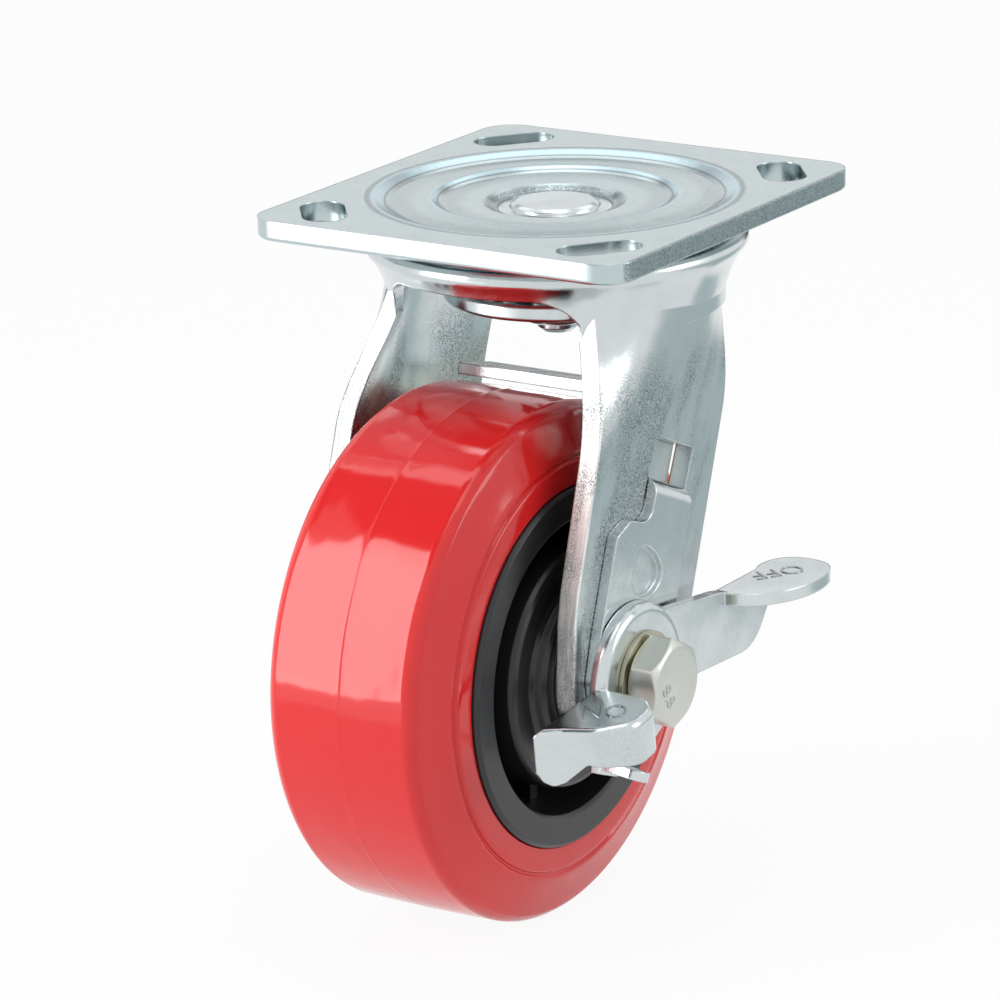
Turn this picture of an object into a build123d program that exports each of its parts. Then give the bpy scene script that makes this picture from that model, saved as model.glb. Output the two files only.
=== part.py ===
"""Swivel castor with a side brake: plate mounted, 125 mm wheel, forked legs, axle bolt and ON/OFF pedal.

Millimetres, +Z up.  The origin is the centre of the mounting face of the top plate, and everything hangs
below it.  X is the long side of the plate and the rolling direction; the wheel trails towards -X.
The axle lies along Y, and the brake sits on the -Y leg.
"""
import math
import os

from build123d import *

os.makedirs("parts", exist_ok=True)

# Driving dimensions
PLATE_LENGTH = 110.0
PLATE_WIDTH = 102.0
PLATE_THICK = 5.0
PLATE_CORNER = 8.0
SLOT_EDGE_X = 10.1
SLOT_EDGE_Y = 16.0
SLOT_RUN_X = 7.6
SLOT_RUN_Y = 6.0
SLOT_R = 5.25
AXLE_X = -34.4
AXLE_DROP = 41.5
SHEET = 4.8
LEG_INSIDE = 31.6
BOLT_R = 6.0

# Named clearances
FIT = 0.03
RUN = 0.05
GAP = 0.1
MOVE_GAP = 0.35

# Wheel, from the hub outwards
HUB_R = 21.0
HUB_HALF = 29.4
BOSS_WALL = 8.1
BOSS_HALF = 26.0
GROOVE_WIDTH = 6.5
GROOVE_FLOOR = 7.0
RIM_WALL = 7.8
RIM_HALF = 25.4
BOND_STEP = 6.6
BOND_HALF = 22.0
TREAD_THICK = 12.5
TREAD_HALF = 24.0
GROOVE_INNER = HUB_R + BOSS_WALL
GROOVE_OUTER = GROOVE_INNER + GROOVE_WIDTH
RIM_R = GROOVE_OUTER + RIM_WALL
BOND_R = RIM_R + BOND_STEP
WHEEL_R = BOND_R + TREAD_THICK
AXLE_Z = -WHEEL_R - AXLE_DROP
CUP_R = 16.5
CUP_BORE_R = 15.0
CUP_HALF = 25.0
RIB_COUNT = 8
RIB_THICK = 3.0
RIB_HALF = 12.0

# Pressed panel of the top plate
PANEL_R = 39.0
PANEL_DROP = 2.0
RECESS_R = 43.0
PIN_SEAT_R = 13.6
PIN_SEAT_Z = -4.4
PIN_BODY_R = 10.0

# Swivel races
BALL_R = 3.175
UPPER_RACE_R = 34.0
UPPER_BALL_Z = -9.6
UPPER_BALLS = 26
CROWN_TOP = -11.5
CROWN_UNDER = CROWN_TOP - 4.2
CROWN_HOLE_R = 12.5
CROWN_WALL_R = 37.5
CROWN_RIM_R = 45.8
LOWER_RACE_R = 19.5
LOWER_BALL_Z = -18.2
LOWER_BALLS = 16
RETAINER_R = 27.2
RETAINER_TOP = -20.9
RETAINER_THICK = 4.1
PIN_SHANK_R = 8.0
PIN_THREAD_R = 4.9
PIN_END_Z = -33.6
NUT_WASHER_THICK = 1.0
NUT_WASHER_R = 10.2
PIN_NUT_AF = 16.5
PIN_NUT_HEIGHT = 4.8

# Fork
LEG_OUTSIDE = LEG_INSIDE + SHEET
ARCH_HALF = 35.0
ARCH_TOP = CROWN_UNDER
ARCH_R = 14.0
ARCH_FRONT = 27.6
ARCH_FRONT_R = 8.6
ARCH_REAR_X = 21.0
LEG_FLAT_Z = -52.0
LEG_FRONT_X = -41.8
LEG_REAR_X = 14.8
LEG_BULGE = ((AXLE_X - 16.7, AXLE_Z + 24.0), (AXLE_X - 18.3, AXLE_Z + 16.0))
FOOT_X = AXLE_X + 4.7
FOOT_Z = AXLE_Z + 0.5
FOOT_R = 24.1

# Axle set
BUSH_R = 9.5
BUSH_HALF = LEG_INSIDE - RUN
ROLLER_R = (CUP_BORE_R - BUSH_R) / 2 - RUN
ROLLER_RING_R = (CUP_BORE_R + BUSH_R) / 2
ROLLER_HALF = 19.0
ROLLERS = 9
CAGE_WALL = 2.4
THRUST_R = 17.0
HEAD_AF = 19.0
HEAD_HEIGHT = 8.0
WASHER_R = 11.3
WASHER_THICK = 1.0
LOCKNUT_HEIGHT = 9.0
NYLON_HEIGHT = 3.0

# Brake, measured along the leg: s across, w up the leg from the axle
LEG_LEAN = 24.0
STRAP_THICK = 2.8
STRAP_FACE = LEG_OUTSIDE + GAP
STRAP_S0 = -3.9
STRAP_S1 = 13.3
SHOE_LIFT = 1.1
SHOE_UNDER = WHEEL_R + SHOE_LIFT
RISER_TALL = 20.2
JOG_W = SHOE_UNDER - RISER_TALL
WINDOW_TALL = 12.5
WINDOW_TOP = JOG_W + WINDOW_TALL
SHOE_S0 = -2.0
SHOE_S1 = 11.4
SHOE_TILT = 11.0
SHOE_END = 22.2
POCKET_DEPTH = 1.4
RISER_FACE = LEG_INSIDE - 0.2
BRAKE_TRAVEL = SHOE_LIFT - MOVE_GAP
STRAP_HOLE_R = 10.6
BEND_R = 4.2
PEDAL_SHEET = 3.0
PEDAL_FACE = STRAP_FACE + STRAP_THICK + 4.1
PEDAL_INSIDE = PEDAL_FACE - PEDAL_SHEET
PEDAL_SKIRT = STRAP_FACE + STRAP_THICK + 0.3
HUB_CUP_R = 17.8
CAM_R = 8.4
CAM_THROW = 1.2
OFF_TAB_RISE = 10.0
ON_TAB_RISE = 3.7
ON_TAB_DEEP = 17.7
ON_TILT = 6.0
TREAD_CORNER_R = 6.8


def at_axle(shape):
    """Puts a shape drawn with the axle on its Y axis at the axle."""
    return Pos(AXLE_X, 0, AXLE_Z) * shape


def along_leg(shape):
    """Puts a shape drawn in the leaning frame of the leg at the axle."""
    return Pos(AXLE_X, 0, AXLE_Z) * Rot(0, LEG_LEAN, 0) * shape


def turned_z(points):
    """Solid of revolution about Z from (radius, z) points."""
    return revolve(Plane.XZ * make_face(Polyline(*points, close=True)), Axis.Z)


def turned_y(points):
    """Solid of revolution about Y from (radius, y) points."""
    return revolve(make_face(Polyline(*points, close=True)), Axis.Y)


def ring_y(outer, inner, y0, y1):
    """Plain ring on the Y axis between two stations."""
    return turned_y([(inner, y0), (outer, y0), (outer, y1), (inner, y1)])


def race_groove(radius, z):
    """Torus that cuts a ball track with running clearance."""
    return Pos(0, 0, z) * Torus(radius, BALL_R + RUN)


def prism_y(across_flats, y0, y1):
    """Hexagonal prism on the Y axis between two stations, corners eased by a cone at both ends."""
    across_corners = across_flats / math.cos(math.pi / 6)
    hexagon = Plane.XZ * RegularPolygon(across_corners / 2, 6, rotation=30)
    body = Pos(0, y1, 0) * extrude(hexagon, y1 - y0)
    ease = 1.25
    corner = across_corners / 2
    flat = across_flats / 2 - 0.6
    blank = turned_y([(0, y0), (flat, y0), (corner, y0 + ease), (corner, y1 - ease), (flat, y1), (0, y1)])
    return body & blank


def top_plate():
    """Pressed mounting plate: four diagonal slots and a stepped round panel that carries the upper balls."""
    blank = extrude(RectangleRounded(PLATE_LENGTH, PLATE_WIDTH, PLATE_CORNER), -PLATE_THICK)
    blank = fillet(blank.edges().group_by(Axis.Z)[0], 1.2)
    panel = turned_z([(0, -PLATE_THICK), (PANEL_R + 2.5, -PLATE_THICK), (PANEL_R, -PLATE_THICK - PANEL_DROP),
                      (0, -PLATE_THICK - PANEL_DROP)])
    recess = turned_z([(0, 1), (RECESS_R + 1, 1), (RECESS_R, 0), (38.8, -1.3), (29.1, -0.7), (26.8, -1.9),
                       (17.0, -2.2), (14.6, -3.4), (PIN_SEAT_R + FIT, -3.5), (PIN_SEAT_R + FIT, PIN_SEAT_Z),
                       (0, PIN_SEAT_Z)])
    plate = blank + panel - recess
    plate -= Pos(0, 0, -PLATE_THICK) * Cylinder(PIN_BODY_R + FIT, 20)
    plate -= race_groove(UPPER_RACE_R, UPPER_BALL_Z)
    slot = SlotCenterToCenter(math.hypot(SLOT_RUN_X, SLOT_RUN_Y), 2 * SLOT_R)
    for side_x in (-1, 1):
        for side_y in (-1, 1):
            x = side_x * (PLATE_LENGTH / 2 - SLOT_EDGE_X - SLOT_RUN_X / 2)
            y = side_y * (PLATE_WIDTH / 2 - SLOT_EDGE_Y + SLOT_RUN_Y / 2)
            angle = math.degrees(math.atan2(-side_x * side_y * SLOT_RUN_Y, SLOT_RUN_X))
            plate -= Pos(x, y, 1) * Rot(0, 0, angle) * extrude(slot, -PLATE_THICK - 2)
    return plate


def kingpin():
    """Headed pin, seated in the panel from above, shouldered for the retainer and threaded below."""
    pin = turned_z([(0, -2.2), (9.2, -2.2), (10.5, -2.8), (10.8, -3.5), (PIN_SEAT_R, -3.7), (PIN_SEAT_R, PIN_SEAT_Z),
                    (PIN_BODY_R, PIN_SEAT_Z), (PIN_BODY_R, -PLATE_THICK - PANEL_DROP - 0.5),
                    (PIN_SHANK_R, -PLATE_THICK - PANEL_DROP - 1.5), (PIN_SHANK_R, RETAINER_TOP),
                    (PIN_THREAD_R, RETAINER_TOP), (PIN_THREAD_R, PIN_END_Z + 1), (PIN_THREAD_R - 1, PIN_END_Z),
                    (0, PIN_END_Z)])
    return pin


def retainer():
    """Lower race disc clamped under the shoulder of the kingpin."""
    bottom = RETAINER_TOP - RETAINER_THICK
    disc = turned_z([(PIN_THREAD_R + FIT, RETAINER_TOP), (RETAINER_R - 0.8, RETAINER_TOP),
                     (RETAINER_R, RETAINER_TOP - 0.8), (RETAINER_R, bottom + 0.8), (RETAINER_R - 0.8, bottom),
                     (PIN_THREAD_R + FIT, bottom)])
    return disc - race_groove(LOWER_RACE_R, LOWER_BALL_Z)


def kingpin_washer():
    """Lock washer between the retainer and the kingpin nut."""
    top = RETAINER_TOP - RETAINER_THICK
    return turned_z([(PIN_THREAD_R + FIT, top), (NUT_WASHER_R, top), (NUT_WASHER_R, top - NUT_WASHER_THICK),
                     (PIN_THREAD_R + FIT, top - NUT_WASHER_THICK)])


def kingpin_nut():
    """Hexagon nut on the threaded end of the kingpin."""
    top = RETAINER_TOP - RETAINER_THICK - NUT_WASHER_THICK
    radius = PIN_NUT_AF / 2 / math.cos(math.pi / 6)
    body = Pos(0, 0, top) * extrude(RegularPolygon(radius, 6, rotation=12), -PIN_NUT_HEIGHT)
    low = top - PIN_NUT_HEIGHT
    body &= turned_z([(0, top), (radius, top), (radius, low + 1), (radius - 1.6, low), (0, low)])
    return body - Pos(0, 0, top) * Cylinder(PIN_THREAD_R + FIT, 30)


def ball_ring(radius, z, count):
    """Loose bearing balls, evenly spaced on their track."""
    balls = []
    for index in range(count):
        angle = 360 * index / count
        balls.append(Rot(0, 0, angle) * Pos(radius, 0, z) * Sphere(BALL_R))
    return Compound(balls)


def leg_section(z, front, rear, middle):
    """Closed outline of one leg at a height: outer and inner arcs one sheet apart."""
    crest = (front[0] + rear[0]) / 2
    outer = ThreePointArc((front[0], front[1], z), (crest, middle, z), (rear[0], rear[1], z))
    end = Line((rear[0], rear[1], z), (rear[0], rear[1] + SHEET, z))
    inner = ThreePointArc((rear[0], rear[1] + SHEET, z), (crest, middle + SHEET, z), (front[0], front[1] + SHEET, z))
    back = Line((front[0], front[1] + SHEET, z), (front[0], front[1], z))
    return make_face([outer, end, inner, back])


def leg():
    """The -Y leg: curved neck that flattens on its way down to the foot round the axle."""
    neck = loft([
        leg_section(-20.0, (-29.0, -28.6), (19.6, -33.2), -40.2),
        leg_section(-32.0, (-33.0, -32.0), (18.8, -34.4), -38.9),
        leg_section(-42.0, (-37.6, -35.0), (17.4, -35.8), -37.5),
        leg_section(LEG_FLAT_Z, (LEG_FRONT_X, -LEG_OUTSIDE), (LEG_REAR_X, -LEG_OUTSIDE), -LEG_OUTSIDE - 0.02),
    ])
    top_edge = Line((LEG_FRONT_X, LEG_FLAT_Z), (LEG_REAR_X, LEG_FLAT_Z))
    foot = Pos(FOOT_X, FOOT_Z) * CenterArc((0, 0), FOOT_R, 0, 360)
    outline = make_hull([top_edge, Line(*LEG_BULGE), foot])
    flat = Pos(0, -LEG_INSIDE, 0) * extrude(Plane.XZ * outline, SHEET)
    hole = at_axle(Pos(0, -LEG_INSIDE, 0) * Rot(90, 0, 0) * Cylinder(BOLT_R + RUN, 4 * SHEET))
    return neck + flat - hole


def crown():
    """Round head of the fork: rolled rim outside, ball track above, thick skirt that the arch is cut from."""
    rim = [(-8.2, 0.0), (-6.2, 1.9), (-3.2, 3.2), (-0.5, 2.2), (0.0, 0.3), (-1.2, -1.6), (-2.9, -4.1), (-4.3, -7.3),
           (-5.7, -11.1)]
    points = [(CROWN_RIM_R + r, CROWN_TOP + z) for r, z in rim]
    low = points[-1][1] - 3.4
    under = Polyline(points[-1], (points[-1][0], low), (CROWN_WALL_R, low), (CROWN_WALL_R, -30.0), (23.0, -30.0),
                     (23.0, CROWN_UNDER), (CROWN_HOLE_R, CROWN_UNDER), (CROWN_HOLE_R, CROWN_TOP), points[0])
    return revolve(Plane.XZ * make_face([Spline(*points), under]), Axis.Z)


def arch():
    """Opening between the legs, rounded where it meets the crown; the front wall of the skirt is spared."""
    height = 40.0
    section = RectangleRounded(2 * ARCH_HALF, height, ARCH_R)
    passage = Pos(60, 0, ARCH_TOP - height / 2) * extrude(Plane.YZ * section, -120)
    front_wall = Pos(-40, 0, 0) * Box(40, 120, 120) - Cylinder(CROWN_WALL_R, 120)
    return passage - front_wall


def front_arch():
    """Opening in the front wall of the skirt, its corners turned down into the front edges of the legs."""
    low = ARCH_TOP - 12.3
    face = make_face(Polyline((-ARCH_FRONT, ARCH_TOP), (ARCH_FRONT, ARCH_TOP), (ARCH_FRONT - 2.4, low),
                              (2.4 - ARCH_FRONT, low), close=True))
    face = fillet(face.vertices().group_by(Axis.Y)[-1], ARCH_FRONT_R)
    return Pos(-20, 0, 0) * extrude(Plane.YZ * face, -40)


def fork():
    """One stamping: crown, neck and two legs, with a window for the brake in the -Y leg."""
    head = crown() - arch()
    head -= Pos(ARCH_REAR_X + 20, 0, ARCH_TOP - 20) * Box(40, 120, 40)
    near = leg()
    body = head + near + mirror(near, Plane.XZ)
    body -= front_arch()
    body -= race_groove(UPPER_RACE_R, UPPER_BALL_Z)
    body -= race_groove(LOWER_RACE_R, LOWER_BALL_Z)
    low = JOG_W - BRAKE_TRAVEL - 1.6
    across = STRAP_S1 - STRAP_S0 + 0.8
    middle = Pos((STRAP_S0 + STRAP_S1) / 2, -LEG_OUTSIDE, (low + WINDOW_TOP) / 2)
    window = middle * Box(across, 3 * SHEET, WINDOW_TOP - low)
    return body - along_leg(window)


def tread():
    """Polyurethane tyre bonded round the core, with rounded shoulders and a raised ring on each side."""
    inner = BOND_R + FIT
    lap = RIM_R + FIT
    waist = BOND_HALF + FIT
    edge = (WHEEL_R - 2.1, TREAD_HALF - 3.7)
    knee = (WHEEL_R - 0.9, TREAD_HALF - 5.1)
    flat = (WHEEL_R - 0.3, TREAD_HALF - 7.6)
    side = [(inner, waist), (lap, waist), (lap, TREAD_HALF), (BOND_R - 0.9, TREAD_HALF - 0.3),
            (BOND_R - 0.1, TREAD_HALF - 0.9), (BOND_R + 0.7, TREAD_HALF - 0.5), edge]
    upper = Polyline(*side)
    shoulder = ThreePointArc(edge, knee, flat)
    crown_line = ThreePointArc(flat, (WHEEL_R, 0), (flat[0], -flat[1]))
    lower_shoulder = ThreePointArc((flat[0], -flat[1]), (knee[0], -knee[1]), (edge[0], -edge[1]))
    lower = Polyline(*[(r, -y) for r, y in reversed(side)])
    close = Line((inner, -waist), (inner, waist))
    return at_axle(revolve(make_face([upper, shoulder, crown_line, lower_shoulder, lower, close]), Axis.Y))


def core():
    """Moulded wheel centre: rim, deep groove with ribs at its floor, and a stepped hub bored for the cup."""
    bore = CUP_R + FIT
    upper = [(bore, HUB_HALF), (HUB_R - 1, HUB_HALF), (HUB_R, HUB_HALF - 1), (HUB_R + 0.4, BOSS_HALF + 0.8),
             (HUB_R + 1.6, BOSS_HALF), (GROOVE_INNER - 1.6, BOSS_HALF), (GROOVE_INNER - 0.5, BOSS_HALF - 0.5),
             (GROOVE_INNER, BOSS_HALF - 1.6), (GROOVE_INNER + 0.8, GROOVE_FLOOR), (GROOVE_OUTER - 0.6, GROOVE_FLOOR),
             (GROOVE_OUTER, RIM_HALF - 0.8), (GROOVE_OUTER + 0.8, RIM_HALF), (RIM_R - 0.8, RIM_HALF),
             (RIM_R, RIM_HALF - 0.8), (RIM_R, BOND_HALF), (BOND_R, BOND_HALF)]
    lower = [(r, -y) for r, y in reversed(upper)]
    body = turned_y(upper + lower)
    middle = (GROOVE_INNER + GROOVE_OUTER) / 2
    length = GROOVE_WIDTH + 1.0
    for index in range(RIB_COUNT):
        rib = Pos(middle, 0, 0) * Box(length, 2 * RIB_HALF, RIB_THICK)
        body += Rot(0, 360 * index / RIB_COUNT, 0) * rib
    return at_axle(body)


def bearing_cup():
    """Steel sleeve pressed in the hub, on which the rollers run."""
    return at_axle(ring_y(CUP_R, CUP_BORE_R, -CUP_HALF, CUP_HALF))


def rollers():
    """Bearing rollers, all alike."""
    made = []
    for index in range(ROLLERS):
        roller = Pos(ROLLER_RING_R, 0, 0) * Rot(90, 0, 0) * Cylinder(ROLLER_R, 2 * ROLLER_HALF)
        made.append(at_axle(Rot(0, 360 * index / ROLLERS, 0) * roller))
    return Compound(made)


def roller_cage():
    """Cage that keeps the rollers apart: an end ring on each side and a bar in every gap."""
    inner = BUSH_R + 0.4
    outer = CUP_BORE_R - 0.4
    start = ROLLER_HALF + RUN
    cage = ring_y(outer, inner, start, start + CAGE_WALL) + ring_y(outer, inner, -start - CAGE_WALL, -start)
    for index in range(ROLLERS):
        bar = Pos(ROLLER_RING_R, 0, 0) * Box(2.4, 2 * start + CAGE_WALL, 1.6)
        cage += Rot(0, 360 * (index + 0.5) / ROLLERS, 0) * bar
    return at_axle(cage)


def axle_bush():
    """Tube clamped between the legs by the axle bolt."""
    return at_axle(ring_y(BUSH_R, BOLT_R + RUN, -BUSH_HALF, BUSH_HALF))


def thrust_washers():
    """Pair of washers that close the ends of the hub."""
    inside = HUB_HALF + GAP
    near = ring_y(THRUST_R, BUSH_R + FIT, -BUSH_HALF, -inside)
    far = ring_y(THRUST_R, BUSH_R + FIT, inside, BUSH_HALF)
    return Compound([at_axle(near), at_axle(far)])


def bolt_seat():
    """Distance of the underside of the bolt head from the middle of the wheel."""
    return PEDAL_FACE + GAP + WASHER_THICK


def axle_bolt():
    """Hexagon bolt through both legs, head on the brake side."""
    seat = bolt_seat()
    end = LEG_OUTSIDE + WASHER_THICK + LOCKNUT_HEIGHT + 3.0
    head = prism_y(HEAD_AF, -seat - HEAD_HEIGHT, -seat)
    shank = turned_y([(0, -seat - 1), (BOLT_R, -seat - 1), (BOLT_R, end - 1.2), (BOLT_R - 1.2, end), (0, end)])
    return at_axle(head + shank)


def head_washer():
    """Flat washer under the bolt head."""
    seat = bolt_seat()
    return at_axle(ring_y(WASHER_R, BOLT_R + FIT, -seat, -seat + WASHER_THICK))


def nut_washer():
    """Flat washer under the lock nut."""
    return at_axle(ring_y(WASHER_R, BOLT_R + FIT, LEG_OUTSIDE, LEG_OUTSIDE + WASHER_THICK))


def axle_nut():
    """Lock nut: hexagon below, round collar above that holds the nylon ring."""
    start = LEG_OUTSIDE + WASHER_THICK
    top = start + LOCKNUT_HEIGHT
    body = prism_y(HEAD_AF, start, top - NYLON_HEIGHT + 0.4)
    body += ring_y(8.6, BOLT_R, top - NYLON_HEIGHT, top)
    body -= ring_y(7.8, 0, top - NYLON_HEIGHT, top - 0.5)
    body -= ring_y(BOLT_R + FIT, 0, start - 1, top + 1)
    return at_axle(body)


def nut_insert():
    """Nylon ring in the collar of the lock nut."""
    top = LEG_OUTSIDE + WASHER_THICK + LOCKNUT_HEIGHT
    return at_axle(ring_y(7.8 - FIT, BOLT_R + FIT, top - NYLON_HEIGHT + FIT, top - 0.5 - FIT))


def strap_outline():
    """Flat part of the brake strap, drawn across and up the leg from the axle."""
    top = JOG_W + STRAP_THICK
    inner = [(STRAP_S0, JOG_W - 7.8)]
    shoulder = [(-12.8, JOG_W - 8.6), (-17.3, JOG_W - 13.2)]
    ring = [(-15.8, 6.0), (-14.6, -4.0), (-9.0, -12.2), (0.0, -15.0), (9.0, -12.2), (15.6, -4.0), (16.4, 10.0)]
    face = make_face(Polyline((STRAP_S0, top), *inner, *shoulder, *ring, (14.9, JOG_W - 19.4),
                              (STRAP_S1, JOG_W - 7.4), (STRAP_S1, top), close=True))
    for corners, radius in ((inner, 4.0), (shoulder, 3.0), (ring, 5.0)):
        face = fillet([face.vertices().sort_by_distance((s, w, 0))[0] for s, w in corners], radius)
    return face


def shoe_point(s, lift):
    """Point on the tilted shoe plate, by its station across the leg and its height off the underside."""
    turn = math.radians(SHOE_TILT)
    return (s - lift * math.sin(turn), SHOE_UNDER + (s - SHOE_S0) * math.tan(turn) + lift * math.cos(turn))


def strap_pocket():
    """Shallow drop-shaped pocket pressed in the outside of the strap."""
    rim = Spline((-6.2, 29.2), (1.2, 29.2), (5.9, 24.8), (2.6, 19.4), (-4.4, 18.9), (-7.4, 23.4))
    face = make_face([rim, Line((-7.4, 23.4), (-6.2, 29.2))])
    return Pos(0, -STRAP_FACE - STRAP_THICK + POCKET_DEPTH, 0) * extrude(Plane.XZ * face, 5)


def brake_shoe():
    """One strap: flat on the leg, through the window, up inside the leg and across the tread."""
    y_out = -STRAP_FACE - STRAP_THICK
    y_in = -RISER_FACE + STRAP_THICK
    flat = Pos(0, -STRAP_FACE, 0) * extrude(Plane.XZ * strap_outline(), STRAP_THICK)
    middle = (STRAP_S0 + STRAP_S1) / 2
    jog = Pos(middle, (y_out + y_in) / 2, JOG_W + STRAP_THICK / 2)
    jog *= Box(STRAP_S1 - STRAP_S0, y_in - y_out, STRAP_THICK)
    wall = make_face(Polyline((STRAP_S0, JOG_W), (STRAP_S1, JOG_W), shoe_point(STRAP_S1, STRAP_THICK),
                              shoe_point(STRAP_S0, STRAP_THICK), close=True))
    riser = Pos(0, -RISER_FACE + STRAP_THICK, 0) * extrude(Plane.XZ * wall, STRAP_THICK)
    sole = make_face(Polyline(shoe_point(SHOE_S0, 0), shoe_point(SHOE_S1, 0), shoe_point(SHOE_S1, STRAP_THICK),
                              shoe_point(SHOE_S0, STRAP_THICK), close=True))
    shoe = Pos(0, SHOE_END, 0) * extrude(Plane.XZ * sole, SHOE_END + RISER_FACE)
    strap = flat + jog + riser + shoe
    top = JOG_W + STRAP_THICK
    bend = strap.edges().filter_by(Axis.X).sort_by_distance((middle, y_out, top))[0]
    strap = fillet(bend, BEND_R)
    hidden = strap.edges().filter_by(Axis.X).sort_by_distance((middle, -STRAP_FACE, JOG_W))[0]
    strap = fillet(hidden, BEND_R - STRAP_THICK)
    strap -= Pos(0, -STRAP_FACE, 0) * extrude(Plane.XZ * SlotCenterToCenter(4.0, 2 * STRAP_HOLE_R, rotation=90), 9)
    return along_leg(strap - strap_pocket())


def pedal_hub():
    """Cupped round boss of the pedal, open towards the leg."""
    face = -PEDAL_FACE
    skirt = -PEDAL_SKIRT
    outer = HUB_CUP_R
    wall = PEDAL_SHEET
    line = Polyline((BOLT_R + RUN, face), (outer - 2.2, face))
    bend = ThreePointArc((outer - 2.2, face), (outer - 0.64, face + 0.64), (outer, face + 2.2))
    side = Polyline((outer, face + 2.2), (outer, skirt), (outer - wall, skirt), (outer - wall, face + wall),
                    (BOLT_R + RUN, face + wall), (BOLT_R + RUN, face))
    return at_axle(revolve(make_face([line, bend, side]), Axis.Y))


def pedal_arm():
    """Flat arm behind the hub with the OFF tab turned outwards along its top edge."""
    points = [(-3.6, 17.0), (9.4, 13.6), (34.4, 10.8), (38.4, OFF_TAB_RISE), (57.4, OFF_TAB_RISE), (57.0, 1.0),
              (50.4, -7.4), (24.4, -6.2), (10.4, -9.0), (2.4, -12.0)]
    face = fillet(make_face(Polyline(*points, close=True)).vertices().sort_by_distance((50.4, -7.4, 0))[0:1], 12)
    arm = Pos(0, -PEDAL_INSIDE, 0) * extrude(Plane.XZ * face, PEDAL_SHEET)
    arm -= Rot(90, 0, 0) * Cylinder(HUB_CUP_R - 1, 200)
    root = Polyline((37.0, -3.0), (37.0, 0.0), (56.9, 0.0))
    rim = Spline((56.9, 0.0), (62.9, 0.9), (68.2, -1.6), (70.2, -7.6), (68.2, -13.8), (62.6, -16.6), (49.8, -16.2),
                 (42.0, -12.0), (37.0, -3.0))
    tab = Pos(0, -PEDAL_INSIDE, OFF_TAB_RISE) * extrude(make_face([root, rim]), -PEDAL_SHEET)
    return at_axle(arm + tab)


def pedal_tread():
    """ON tread in front of the hub: a flat shelf with a rim turned down along its outer edge."""
    plan = [(-14.8, 0.6), (-42.4, 0.6), (-39.0, -5.1), (-36.2, -12.6), (-28.8, -19.0), (-20.2, -18.4),
            (-14.8, -13.1)]
    outline = Pos(0, -PEDAL_INSIDE, 0) * make_face(Polyline(*plan, close=True))
    corners = [outline.vertices().sort_by_distance((x, y - PEDAL_INSIDE, 0))[0] for x, y in plan[3:]]
    outline = fillet(corners, TREAD_CORNER_R)
    shell = Pos(0, 0, ON_TAB_RISE) * extrude(outline, -ON_TAB_DEEP)
    shell = fillet(shell.faces().sort_by(Axis.Z)[-1].edges(), 1.8)
    hollow_top = ON_TAB_RISE - PEDAL_SHEET
    shell -= Pos(0, 0, hollow_top) * extrude(offset(outline, -PEDAL_SHEET), -30)
    shell -= Pos(-21.6, -PEDAL_INSIDE - 1.6, hollow_top - 15) * Box(32.0, 8.0, 30)
    shell -= Pos(-12.6, -PEDAL_INSIDE - 7.6, hollow_top - 15) * Box(12.0, 30.0, 30)
    rim = [(10.4, -5.0), (0.4, -6.6), (-0.6, -8.8), (-2.6, -10.2), (-5.0, -9.4), (-10.2, -4.8), (-13.6, -5.8),
           (-20.1, -7.2), (-29.6, -3.0), (-29.6, -36.0), (10.4, -36.0)]
    below = make_face(Polyline(*[(y - PEDAL_INSIDE, z) for y, z in rim], close=True))
    below = fillet([below.vertices().sort_by_distance((y - PEDAL_INSIDE, z, 0))[0] for y, z in rim[1:6]], 1.6)
    shell -= Pos(-66, 0, 0) * extrude(Plane.YZ * below, 80)
    return at_axle(Rot(0, -ON_TILT, 0) * shell)


def pedal_stop():
    """Short web below the hub with a tongue turned outwards at its end."""
    web = make_face(Polyline((-7.6, -12.0), (-12.6, -20.4), (-19.6, -17.6), (-17.6, -6.0), close=True))
    plate = Pos(0, -PEDAL_INSIDE, 0) * extrude(Plane.XZ * web, PEDAL_SHEET)
    tongue = Pos(-15.9, -PEDAL_FACE - 4.9, -17.3) * Rot(0, 22, 0) * Rot(6, 0, 0) * Box(6.4, 10.4, 2.4)
    tongue = fillet(tongue.edges().filter_by(lambda e: e.length < 2.5).group_by(Axis.Y)[0], 2.8)
    return at_axle(plate + tongue)


def brake_pedal():
    """One stamping: hub, OFF arm and ON tread."""
    return pedal_hub() + pedal_arm() + pedal_tread() + pedal_stop()


def brake_cam():
    """Eccentric collar in the pedal hub that drives the strap."""
    start = -PEDAL_INSIDE
    end = -LEG_OUTSIDE - GAP
    lobe = Pos(0, end, CAM_THROW) * Rot(90, 0, 0) * extrude(Circle(CAM_R), end - start)
    return at_axle(lobe - ring_y(BOLT_R + RUN, 0, start - 1, end + 1))


PARTS = {
    "top_plate": top_plate,
    "kingpin": kingpin,
    "retainer": retainer,
    "kingpin_washer": kingpin_washer,
    "kingpin_nut": kingpin_nut,
    "upper_balls": lambda: ball_ring(UPPER_RACE_R, UPPER_BALL_Z, UPPER_BALLS),
    "lower_balls": lambda: ball_ring(LOWER_RACE_R, LOWER_BALL_Z, LOWER_BALLS),
    "fork": fork,
    "tread": tread,
    "core": core,
    "bearing_cup": bearing_cup,
    "rollers": rollers,
    "roller_cage": roller_cage,
    "axle_bush": axle_bush,
    "thrust_washers": thrust_washers,
    "axle_bolt": axle_bolt,
    "head_washer": head_washer,
    "nut_washer": nut_washer,
    "axle_nut": axle_nut,
    "nut_insert": nut_insert,
    "brake_shoe": brake_shoe,
    "brake_pedal": brake_pedal,
    "brake_cam": brake_cam,
}

for name, make in PARTS.items():
    export_step(make(), f"parts/{name}.step")
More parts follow.
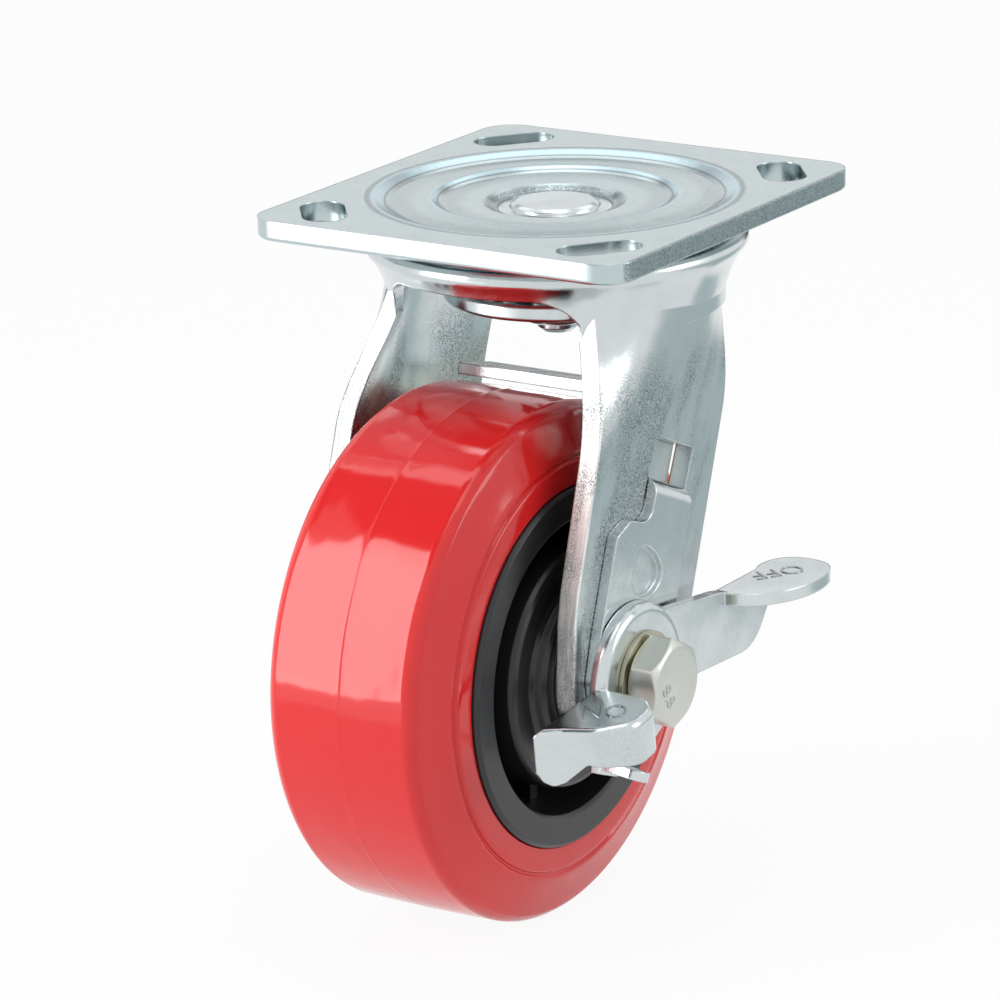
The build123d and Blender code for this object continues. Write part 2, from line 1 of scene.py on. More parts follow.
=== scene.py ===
"""Looks of a plate-mounted swivel castor: bright zinc steel, red polyurethane tyre, black wheel centre."""
import math

import bpy
from mathutils import Matrix, Vector


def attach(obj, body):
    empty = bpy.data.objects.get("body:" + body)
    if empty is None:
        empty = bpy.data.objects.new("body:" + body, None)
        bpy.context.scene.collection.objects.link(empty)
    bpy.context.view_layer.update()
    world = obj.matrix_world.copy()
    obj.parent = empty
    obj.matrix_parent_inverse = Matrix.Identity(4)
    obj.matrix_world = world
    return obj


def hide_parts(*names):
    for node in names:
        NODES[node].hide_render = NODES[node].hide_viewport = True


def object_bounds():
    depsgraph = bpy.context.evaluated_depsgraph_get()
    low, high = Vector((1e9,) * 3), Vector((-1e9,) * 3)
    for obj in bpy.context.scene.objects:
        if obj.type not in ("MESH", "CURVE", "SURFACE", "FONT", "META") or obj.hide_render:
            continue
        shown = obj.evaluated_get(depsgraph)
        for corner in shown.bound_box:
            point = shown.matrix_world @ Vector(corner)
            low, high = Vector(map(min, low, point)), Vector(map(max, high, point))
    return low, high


bl_info = {
    "name": "Swivel castor",
    "version": (1, 0, 0),
    "blender": (4, 5, 0),
    "location": "3D View > Sidebar > Castor",
    "description": "Finishes and small forms of a swivel castor with a side brake",
    "category": "Object",
}

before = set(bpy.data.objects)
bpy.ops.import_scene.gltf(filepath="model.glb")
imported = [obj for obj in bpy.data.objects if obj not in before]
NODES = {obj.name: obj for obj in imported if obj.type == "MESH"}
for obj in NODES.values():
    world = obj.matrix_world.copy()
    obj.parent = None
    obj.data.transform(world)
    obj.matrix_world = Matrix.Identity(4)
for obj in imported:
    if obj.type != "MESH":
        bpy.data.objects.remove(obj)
CAD_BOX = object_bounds()

# Places taken from the solids: the wheel's centre, the floor, the lean of the legs, and the sides of the plate
# and of the legs' inner faces that the finishes change at.
AXLE = Vector((-0.0344, 0.0, -0.104))
FLOOR_Z = CAD_BOX[0][2]
LEAN = math.radians(24.0)
PLATE_SIDE_Y = -0.0502
LEG_INNER_Y = 0.0323

# Points closer together than this are joined.
WELD = 0.000002

# Half of the tyre's section from the crown to the seat, as (radius, distance from the middle plane).
PARTING_HALF = 0.00018
CROWN_HALF = 0.0168
CROWN_DROP = 0.00022
CROWN_SHARES = (0.025, 0.1, 0.2, 0.3, 0.4, 0.5, 0.6, 0.7, 0.8, 0.9, 1.0)
SHOULDER = ((0.06219, 0.01725), (0.06208, 0.01785), (0.06178, 0.01852), (0.06130, 0.01922), (0.06090, 0.01968),
            (0.06062, 0.01993), (0.06052, 0.02006), (0.06040, 0.02016), (0.06010, 0.02030))
WALL_END, WALL_BULGE = (0.05120, 0.02338), -0.010
GROOVE = ((0.05085, 0.02346), (0.05055, 0.02340), (0.05030, 0.02318), (0.05005, 0.02296), (0.04985, 0.02292),
          (0.04965, 0.02300), (0.04948, 0.02332), (0.04930, 0.02368), (0.04905, 0.02386), (0.04870, 0.02394))
RING_END, RING_BULGE = (0.04400, 0.02412), 0.004
SEAT = ((0.04372, 0.02408), (0.04352, 0.02394), (0.04344, 0.02370), (0.04343, 0.02203), (0.05003, 0.02203))
TYRE_STEPS = 192

# Rings of the plate's round panel that carry painted reflection and painted shade, each an inner radius, an outer
# radius and the softness of its borders.
REFLECTING_WALLS = ((0.0403, 0.0440, 0.0008), (0.0279, 0.0300, 0.0006))
DARK_RIMS = ((0.0400, 0.0405, 0.0004), (0.0276, 0.0281, 0.0004))
SPECKLED_SHADE_RINGS = ((0.0437, 0.0451, 0.0009), (0.0120, 0.0166, 0.0018))
SOFT_SHADE_RINGS = ((0.0345, 0.0400, 0.0040), (0.0225, 0.0277, 0.0040))

# Front edge of a leg seen from the side, as three lines x = slope * z + start. The foremost one counts.
LEG_FRONT = ((0.332, -0.02454), (0.071, -0.04645), (0.461, -0.01821))

# Colours that no control sets.
PLATE_SHADES = (0.80, 0.86, 0.87)
# Scales for the colour of the speckled streaks, and for the painted shade on the plate's -Y side.
SPECK_AND_SHADE_SCALES = (0.30, 0.33, 0.34)
# Painted reflection on the walls of the plate's rings.
BLUE_PAINTED_REFLECTION = (0.50, 0.68, 0.75)
# Painted shade on the rims, basin and slopes of the plate's rings, broken by speckle.
RING_PAINTED_SHADE = (0.13, 0.16, 0.18)
# Painted warm reflection of the red tyre on the legs' inner faces.
WARM_PAINTED_REFLECTION = (0.64, 0.62, 0.50)
# Painted highlight on the near leg's sheared front edge.
SHEARED_PAINTED_HIGHLIGHT = (0.96, 0.96, 0.94)
# Painted shade on the far leg's sheared front edge.
SHEARED_PAINTED_SHADE = (0.20, 0.19, 0.18)
# Painted shade of the stamped ON and OFF on the pedal.
STAMPED_LETTER_SHADE = (0.38, 0.41, 0.43)
# Painted shade of the 8.8 on the bolt head.
GRADE_LETTER_SHADE = (0.52, 0.53, 0.50)
GROUND_STEEL = (0.62, 0.63, 0.64)
CAGE_NYLON = (0.08, 0.08, 0.08)
WHITE_NYLON = (0.8, 0.82, 0.8)
PALE_FLOOR = (0.84, 0.85, 0.86)
STUDIO_LIGHT = (0.46, 0.48, 0.49)
CARD_GREY = (0.13, 0.14, 0.15)
CARD_PALE = (0.52, 0.60, 0.61)

# Lamps as name, place, target, (width, height) and brightness.
MIDDLE = (0.0, 0.0, -0.08)
LAMPS = (
    ("left box", (-0.536, 0.381, 0.217), (-0.09, 0.0, 0.217), (0.25, 0.765), 5.2),
    ("left table", (-0.56, 0.34, FLOOR_Z + 0.004), (-0.56, 0.34, 1.0), (0.5, 0.5), 0.6),
    ("top box", (-0.1, 0.1, 1.1), MIDDLE, (1.2, 0.9), 1.4),
    ("rear box", (0.80, 0.53, 0.86), MIDDLE, (1.4, 0.45), 0.6),
    ("right box", (0.45, -1.15, 0.45), MIDDLE, (0.6, 0.7), 3.0),
)

# Grey cards as name, place, target, (width, height) and colour.
CARDS = (
    ("high flag", (0.835, 0.551, 0.54), (0.0, 0.0, 0.54), (1.5, 0.15), CARD_GREY),
    ("sky flag", (-0.40, 0.25, 0.75), (-0.40, 0.25, 0.0), (0.75, 0.75), CARD_GREY),
    ("low flag", (0.835, 0.551, -0.033), (0.0, 0.0, -0.033), (1.5, 0.26), CARD_GREY),
    ("floor flag", (0.517, -0.38, FLOOR_Z + 0.003), (0.517, -0.38, 1.0), (0.686, 0.66), CARD_PALE),
)
FLOOR_SIZE = 6.0
FLOOR_WHITE = 0.93

# The picture's camera: its turn, tip and roll in degrees, its distances from the origin and its lens.
CAMERA_ANGLES = (-56.569, 17.048, -1.635)
CAMERA_BACK, CAMERA_LEFT, CAMERA_DOWN = 1.250085, 0.012936, 0.072968
CAMERA_LENS = 190.543


class CastorSizes(bpy.types.PropertyGroup):
    """Sizes of the forms that are made here."""
    tread_r: bpy.props.FloatProperty(
        name="Tyre radius", description="Radius of the tyre at its crown", default=0.06240, unit="LENGTH")
    parting: bpy.props.FloatProperty(
        name="Parting line", description="Height of the mould line round the tyre", default=0.00005, unit="LENGTH")
    letter: bpy.props.FloatProperty(
        name="Letter relief", description="Height of the marks on the pedal and the bolt", default=0.00018,
        unit="LENGTH")
    edge: bpy.props.FloatProperty(
        name="Stamped edge", description="Rounding of the edges of the stampings", default=0.0006, unit="LENGTH")


class CastorFinish(bpy.types.PropertyGroup):
    """Colours of the finishes."""
    zinc: bpy.props.FloatVectorProperty(
        name="Bright zinc", description="Colour of the zinc plate", default=(0.68, 0.73, 0.74), subtype="COLOR")
    yellow: bpy.props.FloatVectorProperty(
        name="Yellow zinc", description="Colour of the passivated washers", default=(0.50, 0.48, 0.36),
        subtype="COLOR")
    bolt: bpy.props.FloatVectorProperty(
        name="Fastener zinc", description="Colour of the bolt and its nut", default=(0.66, 0.68, 0.63),
        subtype="COLOR")
    tyre: bpy.props.FloatVectorProperty(
        name="Tyre", description="Colour of the polyurethane", default=(0.78, 0.022, 0.023), subtype="COLOR")
    core: bpy.props.FloatVectorProperty(
        name="Wheel centre", description="Colour of the moulded centre", default=(0.018, 0.018, 0.020),
        subtype="COLOR")


class Value:
    """A shader socket that takes part in sums like a number."""

    def __init__(self, paint, socket):
        self.paint = paint
        self.socket = socket

    def _sum(self, operation, first, second):
        return self.paint.node("ShaderNodeMath", {"operation": operation}, {0: first, 1: second})

    def __add__(self, other):
        return self._sum("ADD", self, other)

    def __radd__(self, other):
        return self._sum("ADD", other, self)

    def __sub__(self, other):
        return self._sum("SUBTRACT", self, other)

    def __rsub__(self, other):
        return self._sum("SUBTRACT", other, self)

    def __mul__(self, other):
        return self._sum("MULTIPLY", self, other)

    def __rmul__(self, other):
        return self._sum("MULTIPLY", other, self)

    def above(self, edge, soft):
        """1 above the edge and 0 below it, with a step as wide as soft."""
        return self.paint.node("ShaderNodeMapRange", {"interpolation_type": "SMOOTHSTEP"},
                               {"Value": self, "From Min": edge - soft / 2, "From Max": edge + soft / 2})

    def below(self, edge, soft):
        """1 below the edge and 0 above it."""
        return 1.0 - self.above(edge, soft)

    def between(self, low, high, soft):
        """1 between two edges and 0 outside them."""
        return self.above(low, soft) * self.below(high, soft)

    def in_rings(self, rings):
        """1 in either of two rings, where this value is the distance from their centre."""
        first, second = rings
        return self.between(*first) + self.between(*second)


class Paint:
    """One material, and short ways to add its nodes."""

    def __init__(self, name, colour, roughness, metallic=0.0):
        self.material = bpy.data.materials.new(name)
        self.material.use_nodes = True
        self.tree = self.material.node_tree
        self.shader = self.tree.nodes["Principled BSDF"]
        self.set("Base Color", (*colour, 1.0))
        self.set("Roughness", roughness)
        self.set("Metallic", metallic)
        self.place = self.node("ShaderNodeTexCoord", {}, {}, "Object")

    def set(self, name, value):
        """Gives one of the shader's sockets a constant."""
        self.shader.inputs[name].default_value = value

    def feed(self, name, value):
        """Links a value to one of the shader's sockets."""
        self.tree.links.new(value.socket, self.shader.inputs[name])

    def node(self, kind, settings, inputs, output=0):
        """Adds a node, with its settings first, and gives one of its outputs."""
        made = self.tree.nodes.new(kind)
        for key, value in settings.items():
            setattr(made, key, value)
        for key, value in inputs.items():
            if isinstance(value, Value):
                self.tree.links.new(value.socket, made.inputs[key])
            else:
                made.inputs[key].default_value = value
        return Value(self, made.outputs[output])

    def axis(self, name):
        """One coordinate of the surface point."""
        return self.node("ShaderNodeSeparateXYZ", {}, {0: self.place}, name)

    def noise(self, scale, detail=2.0, roughness=0.5, stretch=None, lean=0.0):
        """Noise of about 1 / scale metres a lump, stretched by three factors and leant about the axle's way."""
        place = self.place
        if stretch:
            place = self.node("ShaderNodeMapping", {"vector_type": "TEXTURE"},
                              {"Vector": place, "Rotation": (0.0, lean, 0.0),
                               "Scale": tuple(1.0 / factor for factor in stretch)})
        return self.node("ShaderNodeTexNoise", {},
                         {"Vector": place, "Scale": scale, "Detail": detail, "Roughness": roughness}, "Fac")

    def larger(self, first, second):
        """The larger of two values."""
        return self.node("ShaderNodeMath", {"operation": "MAXIMUM"}, {0: first, 1: second})

    def mix(self, factor, first, second):
        """Colour between two, by a factor."""
        made = self.tree.nodes.new("ShaderNodeMix")
        made.data_type = "RGBA"
        for socket, value in ((made.inputs[0], factor), (made.inputs[6], first), (made.inputs[7], second)):
            if isinstance(value, Value):
                self.tree.links.new(value.socket, socket)
            else:
                socket.default_value = (*value, 1.0)
        return Value(self, made.outputs[2])

    def bump(self, height, distance, strength, normal=None):
        """Normal of a surface that rises with the height."""
        inputs = {"Height": height, "Distance": distance, "Strength": strength}
        if normal:
            inputs["Normal"] = normal
        return self.node("ShaderNodeBump", {}, inputs)

    def rounded(self, radius):
        """Normal that rounds hard edges."""
        return self.node("ShaderNodeBevel", {"samples": 6}, {"Radius": radius})


class Zinc(Paint):
    """Bright zinc plate: slight waves, soft clouds and speckled streaks that run down the metal."""

    def __init__(self, name, colour, edge, stain=0.0, roughness=0.17, wave=0.4, clouds=0.82):
        super().__init__(name, colour, roughness, 1.0)
        self.colour = colour
        waves = self.noise(60.0)
        cloud = self.noise(120.0, 4.0, 0.6)
        fine = self.noise(2600.0, 3.0, 0.75)
        self.dark = self.noise(2300.0, 3.0, 0.7).above(0.50, 0.22)
        streak = self.noise(70.0, 3.0, 0.55, (1.0, 1.0, 0.30), LEAN)
        self.mark = streak.above(0.50, 0.18) * self.dark * stain
        self.rough = roughness - 0.05 + 0.10 * cloud
        self.tone = self.mix(cloud, colour, shaded(colour, [clouds] * 3))
        normal = self.bump(waves, 0.0008, wave, self.rounded(edge))
        self.feed("Normal", self.bump(fine, 0.00004, 0.5, normal))

    def finish(self):
        """Joins the marks, roughness and tones that have been gathered."""
        self.feed("Roughness", self.rough + 0.16 * self.mark)
        self.feed("Base Color", self.mix(self.mark, self.tone, shaded(self.colour, SPECK_AND_SHADE_SCALES)))
        return self


def shaded(colour, shades):
    """A colour with each channel scaled by its own shade."""
    return tuple(channel * shade for channel, shade in zip(colour, shades))


def plate_paint(colour, edge):
    """Zinc of the top plate: rings with painted blue reflection on their walls and painted shade on their rims,
    basin and slopes, and painted shade on a sheared, speckled side.
    """
    paint = Zinc("plate zinc", shaded(colour, PLATE_SHADES), edge, roughness=0.20, wave=0.15, clouds=0.90)
    across = paint.axis("X")
    along = paint.axis("Y")
    out = paint.node("ShaderNodeMath", {"operation": "SQRT"}, {0: across * across + along * along})
    # Painted reflection on the rings' walls, then painted shade on their rims, in the basin and on the panel's
    # slopes.
    tone = paint.mix(out.in_rings(REFLECTING_WALLS) * 0.65, paint.tone, BLUE_PAINTED_REFLECTION)
    shade = out.in_rings(DARK_RIMS) * 0.6
    shade = shade + out.in_rings(SPECKLED_SHADE_RINGS) * (0.28 + 0.65 * paint.dark)
    shade = shade + out.in_rings(SOFT_SHADE_RINGS) * (0.10 + 0.25 * paint.dark)
    paint.tone = paint.mix(shade, tone, RING_PAINTED_SHADE)
    shear = paint.noise(900.0, 3.0, 0.65, (1.0, 1.0, 2.0)).above(0.45, 0.25)
    # Painted shade on the plate's -Y side, broken by sheared speckles.
    paint.mark = along.below(PLATE_SIDE_Y, 0.0004) * (0.35 + 0.6 * paint.dark * shear)
    return paint.finish()


def fork_paint(colour, edge):
    """Zinc of the fork: streaked legs with sheared front edges, a painted highlight on the near one and painted
    shade on the far one, and a painted warm reflection of the tyre on the inner faces, under a plain crown.
    """
    paint = Zinc("fork zinc", colour, edge, stain=1.0, roughness=0.19)
    across = paint.axis("X")
    along = paint.axis("Y")
    up = paint.axis("Z")
    leg = up.below(-0.034, 0.012)
    far = along.above(0.0, 0.01)

    # Specks on the lower front of the legs, and a smoother crown.
    low_front = up.below(-0.088, 0.012) * across.below(-0.0455, 0.004)
    shear = paint.noise(300.0, 3.0, 0.6, (3.0, 3.0, 0.5)).above(0.47, 0.2)
    paint.mark = leg * paint.mark + low_front * shear * (0.2 + 0.4 * paint.dark)
    paint.rough = paint.rough - 0.05 * (1.0 - leg)

    # Painted warm reflection of the red tyre on the legs' inner faces.
    inner = along.above(-LEG_INNER_Y, 0.0004) * along.below(LEG_INNER_Y, 0.0004) * up.below(-0.045, 0.014)
    paint.tone = paint.mix(inner * 0.7, paint.tone, WARM_PAINTED_REFLECTION)

    # Sheared front edges, with a painted highlight on the near leg and painted shade on the far one.
    first, second, third = (slope * up + start for slope, start in LEG_FRONT)
    border = paint.larger(paint.larger(first, second), third)
    sheared = leg * (across - border).below(0.0008, 0.0006)
    grain = paint.noise(520.0, 3.0, 0.6, (1.0, 3.0, 0.12), LEAN).above(0.5, 0.25)
    paint.rough = paint.rough + sheared * (0.30 - 0.26 * far)
    paint.tone = paint.mix(sheared * (1.0 - 0.5 * grain), paint.tone, SHEARED_PAINTED_HIGHLIGHT)
    paint.tone = paint.mix(sheared * far * (0.55 + 0.45 * grain), paint.tone, SHEARED_PAINTED_SHADE)
    return paint.finish()


def tyre_paint(colour):
    """Glossy moulded polyurethane, a little cloudy and wavy."""
    paint = Paint("red polyurethane", colour, 0.13)
    waves = paint.noise(26.0)
    ripple = paint.noise(90.0)
    cloud = paint.noise(60.0, 4.0, 0.6)
    paint.feed("Roughness", 0.06 + 0.07 * cloud)
    paint.feed("Base Color", paint.mix(cloud, colour, shaded(colour, [0.90] * 3)))
    normal = paint.bump(waves, 0.0014, 0.5)
    paint.feed("Normal", paint.bump(ripple, 0.0002, 0.5, normal))
    return paint


def core_paint(colour):
    """Black moulded plastic with a satin face."""
    paint = Paint("black moulding", colour, 0.3)
    cloud = paint.noise(300.0, 4.0, 0.6)
    fine = paint.noise(2200.0, 2.0, 0.6)
    paint.feed("Roughness", 0.24 + 0.12 * cloud)
    paint.feed("Normal", paint.bump(fine, 0.00003, 0.5, paint.rounded(0.0005)))
    return paint


def plain_paint(name, colour, roughness, metallic):
    """Plain finish of the hidden pieces, with soft clouds."""
    paint = Paint(name, colour, roughness, metallic)
    cloud = paint.noise(500.0, 3.0, 0.6)
    paint.feed("Roughness", roughness - 0.05 + 0.10 * cloud)
    paint.feed("Base Color", paint.mix(cloud, colour, shaded(colour, [0.88] * 3)))
    paint.feed("Normal", paint.rounded(0.0003))
    return paint


def dress(names, paint):
    """Gives CAD nodes a finish."""
    for name in names:
        node = NODES[name]
        if not node.material_slots:
            node.data.materials.append(paint.material)
        for slot in node.material_slots:
            slot.material = paint.material


def clear_selection():
    """Leaves object mode on and nothing selected."""
    if bpy.context.mode != "OBJECT":
        bpy.ops.object.mode_set(mode="OBJECT")
    bpy.ops.object.select_all(action="DESELECT")


def settle(piece):
    """Puts a piece's place in its mesh."""
    clear_selection()
    piece.select_set(True)
    bpy.context.view_layer.objects.active = piece
    bpy.ops.object.transform_apply(location=True, rotation=True, scale=True)


def weld():
    """In edit mode, joins the points of the piece that meet, faces it outwards and leaves edit mode."""
    bpy.ops.mesh.select_all(action="SELECT")
    bpy.ops.mesh.remove_doubles(threshold=WELD)
    bpy.ops.mesh.normals_make_consistent(inside=False)
    bpy.ops.object.mode_set(mode="OBJECT")


def spun(name, profile, steps):
    """Closed ring turned about the axle from (radius, along) points."""
    clear_selection()
    bpy.ops.mesh.primitive_circle_add(vertices=len(profile), radius=0.01, fill_type="NOTHING")
    piece = bpy.context.object
    piece.name = name
    for vertex, (radius, along) in zip(piece.data.vertices, profile):
        vertex.co = AXLE + Vector((radius, along, 0.0))
    bpy.ops.object.mode_set(mode="EDIT")
    bpy.ops.mesh.select_all(action="SELECT")
    bpy.ops.mesh.spin(steps=steps, angle=2 * math.pi, center=AXLE, axis=(0, 1, 0))
    weld()
    settle(piece)
    return piece


def lettering(name, text, size, relief, place, body, paint):
    """Flat letters that stand a little proud of the face they lie on."""
    clear_selection()
    bpy.ops.object.text_add(location=(0, 0, 0))
    piece = bpy.context.object
    piece.name = name
    piece.data.body = text
    piece.data.size = size
    piece.data.extrude = relief
    piece.data.offset = -size * 0.012
    piece.data.resolution_u = 6
    piece.data.align_x = "CENTER"
    piece.data.align_y = "CENTER"
    bpy.ops.object.convert(target="MESH")
    piece = bpy.context.object
    piece.matrix_world = place
    settle(piece)
    bpy.ops.object.mode_set(mode="EDIT")
    weld()
    piece.data.materials.clear()
    piece.data.materials.append(paint.material)
    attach(piece, body)


def arc(points, start, end, bulge, count):
    """Adds a shallow arc from start to end, without its start."""
    (x0, y0), (x1, y1) = start, end
    nx, ny = y1 - y0, x0 - x1
    for index in range(1, count + 1):
        t = index / count
        lift = 4 * bulge * t * (1 - t)
        points.append((x0 + (x1 - x0) * t + nx * lift, y0 + (y1 - y0) * t + ny * lift))


def turned(degrees, axis):
    """Matrix of a turn about one axis."""
    return Matrix.Rotation(math.radians(degrees), 4, axis)


class CASTOR_OT_tyre(bpy.types.Operator):
    """Tyre with a crowned tread, rounded shoulders, side rings and a mould line"""
    bl_idname = "castor.tyre"
    bl_label = "Tyre"

    def execute(self, context):
        sizes = context.scene.castor_sizes
        finish = context.scene.castor_finish
        half = [(sizes.tread_r + sizes.parting, 0.0), (sizes.tread_r + sizes.parting * 0.4, PARTING_HALF)]
        half += [(sizes.tread_r - CROWN_DROP * share ** 2, CROWN_HALF * share) for share in CROWN_SHARES]
        half += SHOULDER
        arc(half, SHOULDER[-1], WALL_END, WALL_BULGE, 8)
        half += GROOVE
        arc(half, GROOVE[-1], RING_END, RING_BULGE, 4)
        half += SEAT
        profile = half + [(r, -y) for r, y in reversed(half) if y > 0]
        tyre = spun("tyre", profile, TYRE_STEPS)
        bpy.ops.object.shade_smooth_by_angle(angle=math.radians(38))
        tyre.data.materials.append(tyre_paint(finish.tyre).material)
        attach(tyre, "wheel")
        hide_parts("tread")
        return {"FINISHED"}


class CASTOR_OT_steel(bpy.types.Operator):
    """Zinc finish of the stampings and fasteners, and ground steel of the running parts"""
    bl_idname = "castor.steel"
    bl_label = "Steel finishes"

    def execute(self, context):
        edge = context.scene.castor_sizes.edge
        finish = context.scene.castor_finish
        dress(["top_plate"], plate_paint(finish.zinc, edge))
        dress(["fork"], fork_paint(finish.zinc, edge))
        dress(["brake_shoe", "brake_pedal", "retainer", "kingpin", "kingpin_nut", "kingpin_washer",
               "thrust_washers"], Zinc("bright zinc", finish.zinc, edge, stain=0.15, roughness=0.16).finish())
        dress(["axle_bolt", "axle_nut"],
              Zinc("fastener zinc", finish.bolt, 0.0009, roughness=0.30, wave=0.25).finish())
        dress(["head_washer", "nut_washer"], Zinc("yellow zinc", finish.yellow, 0.0003, roughness=0.28).finish())
        dress(["upper_balls", "lower_balls", "rollers", "bearing_cup", "axle_bush", "brake_cam"],
              plain_paint("ground steel", GROUND_STEEL, 0.2, 1.0))
        return {"FINISHED"}


class CASTOR_OT_marks(bpy.types.Operator):
    """ON and OFF on the pedal and the strength grade on the bolt head, darker than the zinc as painted shade"""
    bl_idname = "castor.marks"
    bl_label = "Stamped marks"

    def execute(self, context):
        relief = context.scene.castor_sizes.letter
        # Both letter finishes are a darker zinc: painted shade that stands in for the shading of stamped letters.
        letter_shade = Zinc("shaded stamped marks", STAMPED_LETTER_SHADE, 0.0001).finish()
        face = Zinc("shaded grade mark", GRADE_LETTER_SHADE, 0.0001, roughness=0.3).finish()
        axle = Matrix.Translation(AXLE)
        on_place = (axle @ turned(-6, "Y") @ Matrix.Translation((-0.0261, -0.0490, 0.0037)) @ turned(117, "Z")
                    @ Matrix.Diagonal((1.0, 1.45, 1.0, 1.0)))
        off_place = axle @ Matrix.Translation((0.0571, -0.0462, 0.0100)) @ turned(147, "Z")
        head_place = axle @ Matrix.Translation((-0.0040, -0.0525, -0.0020)) @ turned(62, "Y") @ turned(90, "X")
        for name, text, size, place, body, paint in (
                ("on_mark", "ON", 0.0068, on_place, "brake_pedal", letter_shade),
                ("off_mark", "OFF", 0.0080, off_place, "brake_pedal", letter_shade),
                ("grade_mark", "8.8", 0.0050, head_place, "fork", face)):
            lettering(name, text, size, relief, place, body, paint)
        return {"FINISHED"}


class CASTOR_OT_plastic(bpy.types.Operator):
    """Finish of the wheel centre, the roller cage and the nylon ring"""
    bl_idname = "castor.plastic"
    bl_label = "Plastic finishes"

    def execute(self, context):
        dress(["core"], core_paint(context.scene.castor_finish.core))
        dress(["roller_cage"], plain_paint("cage nylon", CAGE_NYLON, 0.4, 0.0))
        dress(["nut_insert"], plain_paint("white nylon", WHITE_NYLON, 0.35, 0.0))
        return {"FINISHED"}


def towards(place, target, front):
    """Turn that points a side of an object at place towards the target."""
    return (Vector(target) - Vector(place)).to_track_quat(front, "Y").to_euler()


def soft_box(name, place, target, size, glow):
    """Soft box of a stated brightness that points at a target."""
    data = bpy.data.lights.new(name, "AREA")
    data.shape = "RECTANGLE"
    data.size, data.size_y = size
    data.energy = glow * math.pi * size[0] * size[1]
    light = bpy.data.objects.new(name, data)
    light.location = place
    light.rotation_euler = towards(place, target, "-Z")
    bpy.context.scene.collection.objects.link(light)


def grey_card(name, place, target, size, colour):
    """Grey card outside the picture that darkens what the metal reflects."""
    clear_selection()
    bpy.ops.mesh.primitive_plane_add(size=1.0, location=(0, 0, 0))
    card = bpy.context.object
    card.name = name
    card.scale = (*size, 1.0)
    card.rotation_euler = towards(place, target, "Z")
    card.location = place
    paint = Paint(name, (0.0, 0.0, 0.0), 0.9)
    paint.set("Emission Color", (*colour, 1.0))
    paint.set("Emission Strength", 1.0)
    paint.set("Specular IOR Level", 0.0)
    card.data.materials.append(paint.material)
    settle(card)
    for kind in ("camera", "diffuse", "shadow"):
        setattr(card, "visible_" + kind, False)


def by_ray(tree, seen, other, target, share=1.0):
    """A share of the seen surface to the camera and in reflections, and the other one to every other ray."""
    path = tree.nodes.new("ShaderNodeLightPath")
    total = path.outputs["Is Camera Ray"]
    for name in ("Is Glossy Ray", "Is Transmission Ray"):
        both = tree.nodes.new("ShaderNodeMath")
        both.operation = "MAXIMUM"
        tree.links.new(total, both.inputs[0])
        tree.links.new(path.outputs[name], both.inputs[1])
        total = both.outputs[0]
    part = tree.nodes.new("ShaderNodeMath")
    part.operation = "MULTIPLY"
    part.inputs[1].default_value = share
    tree.links.new(total, part.inputs[0])
    blend = tree.nodes.new("ShaderNodeMixShader")
    tree.links.new(part.outputs[0], blend.inputs[0])
    tree.links.new(other, blend.inputs[1])
    tree.links.new(seen, blend.inputs[2])
    tree.links.new(blend.outputs[0], target)


def lay_floor():
    """Pale floor that shows nearly white and keeps the shadow of the castor."""
    clear_selection()
    bpy.ops.mesh.primitive_plane_add(size=FLOOR_SIZE, location=(0, 0, FLOOR_Z))
    floor = bpy.context.object
    floor.name = "floor"
    paint = Paint("pale floor", PALE_FLOOR, 0.7)
    glow = paint.tree.nodes.new("ShaderNodeEmission")
    by_ray(paint.tree, glow.outputs[0], paint.shader.outputs[0],
           paint.tree.nodes["Material Output"].inputs["Surface"], FLOOR_WHITE)
    floor.data.materials.append(paint.material)


def light_surroundings(scene):
    """White surroundings that give an even grey light."""
    world = bpy.data.worlds.new("studio")
    scene.world = world
    world.use_nodes = True
    tree = world.node_tree
    back = tree.nodes["Background"]
    back.inputs["Color"].default_value = (*STUDIO_LIGHT, 1.0)
    white = tree.nodes.new("ShaderNodeBackground")
    white.inputs["Color"].default_value = (1.0, 1.0, 1.0, 1.0)
    by_ray(tree, white.outputs[0], back.outputs[0], tree.nodes["World Output"].inputs["Surface"])


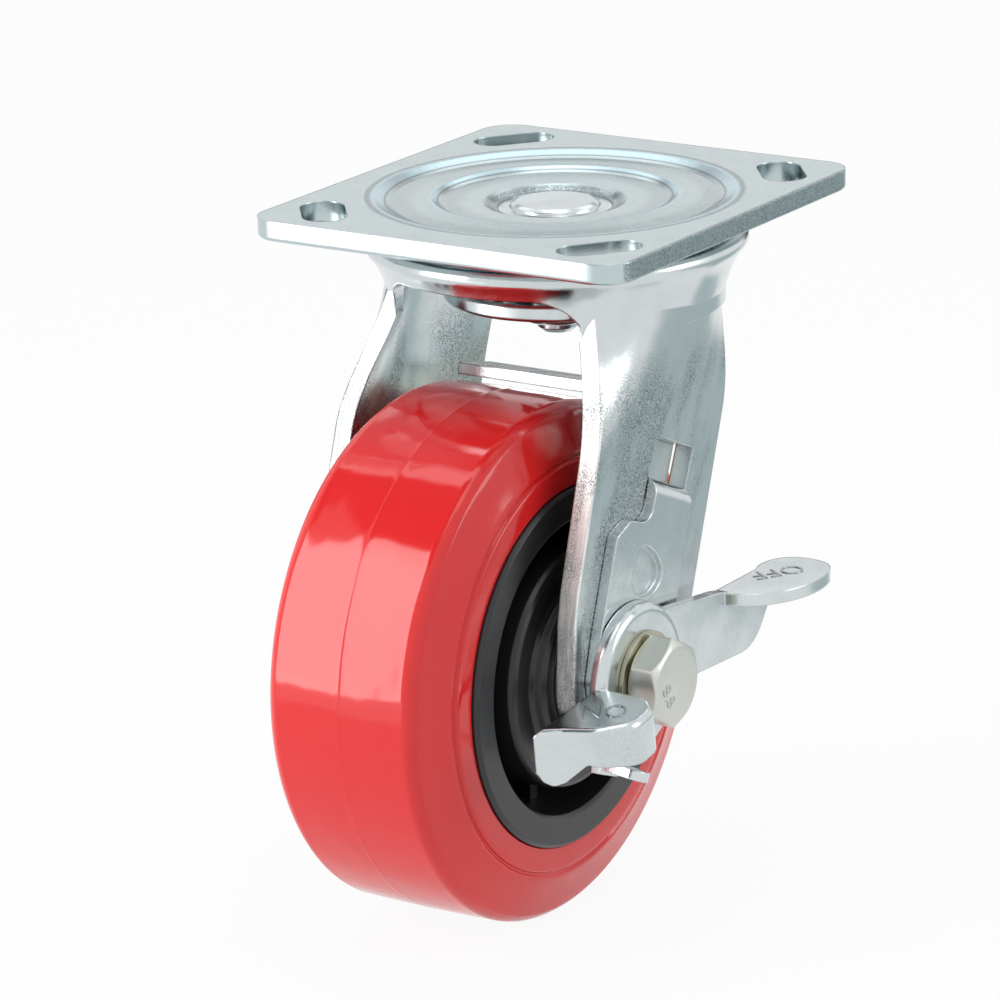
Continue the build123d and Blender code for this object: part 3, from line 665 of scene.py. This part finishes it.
def place_camera(scene):
    """Camera at the picture's angle."""
    turn, tip, roll = (math.radians(angle) for angle in CAMERA_ANGLES)
    back = Vector((math.sin(turn) * math.cos(tip), -math.cos(turn) * math.cos(tip), math.sin(tip)))
    side = Vector((math.cos(turn), math.sin(turn), 0.0))
    above = back.cross(side)
    right = side * math.cos(roll) + above * math.sin(roll)
    up = above * math.cos(roll) - side * math.sin(roll)
    eye = back * CAMERA_BACK - right * CAMERA_LEFT - up * CAMERA_DOWN
    lens = bpy.data.cameras.new("camera")
    lens.lens = CAMERA_LENS
    lens.sensor_width = 36.0
    lens.clip_end = 20.0
    camera = bpy.data.objects.new("camera", lens)
    camera.matrix_world = Matrix((
        (right.x, up.x, back.x, eye.x), (right.y, up.y, back.y, eye.y),
        (right.z, up.z, back.z, eye.z), (0, 0, 0, 1)))
    scene.collection.objects.link(camera)
    scene.camera = camera


class CASTOR_OT_stage(bpy.types.Operator):
    """Pale floor, studio light and the camera of the picture"""
    bl_idname = "castor.stage"
    bl_label = "Stage"

    def execute(self, context):
        scene = context.scene
        lay_floor()
        light_surroundings(scene)
        for lamp in LAMPS:
            soft_box(*lamp)
        for card in CARDS:
            grey_card(*card)
        place_camera(scene)
        scene.view_settings.view_transform = "Standard"
        return {"FINISHED"}


class CASTOR_PT_panel(bpy.types.Panel):
    """Castor pieces and finishes"""
    bl_idname = "CASTOR_PT_panel"
    bl_label = "Castor"
    bl_space_type = "VIEW_3D"
    bl_region_type = "UI"
    bl_category = "Castor"

    def draw(self, context):
        column = self.layout.column()
        for group in (context.scene.castor_sizes, context.scene.castor_finish):
            for name in group.__annotations__:
                column.prop(group, name)
        for operator in OPERATORS:
            column.operator(operator.bl_idname)


OPERATORS = (CASTOR_OT_tyre, CASTOR_OT_steel, CASTOR_OT_marks, CASTOR_OT_plastic, CASTOR_OT_stage)
CLASSES = (CastorSizes, CastorFinish, *OPERATORS, CASTOR_PT_panel)


def register():
    for item in CLASSES:
        bpy.utils.register_class(item)
    bpy.types.Scene.castor_sizes = bpy.props.PointerProperty(type=CastorSizes)
    bpy.types.Scene.castor_finish = bpy.props.PointerProperty(type=CastorFinish)


def unregister():
    del bpy.types.Scene.castor_finish
    del bpy.types.Scene.castor_sizes
    for item in reversed(CLASSES):
        bpy.utils.unregister_class(item)


def main():
    """Runs every step."""
    register()
    bpy.ops.castor.tyre()
    bpy.ops.castor.steel()
    bpy.ops.castor.marks()
    bpy.ops.castor.plastic()
    bpy.ops.castor.stage()


if __name__ == "__main__":
    main()
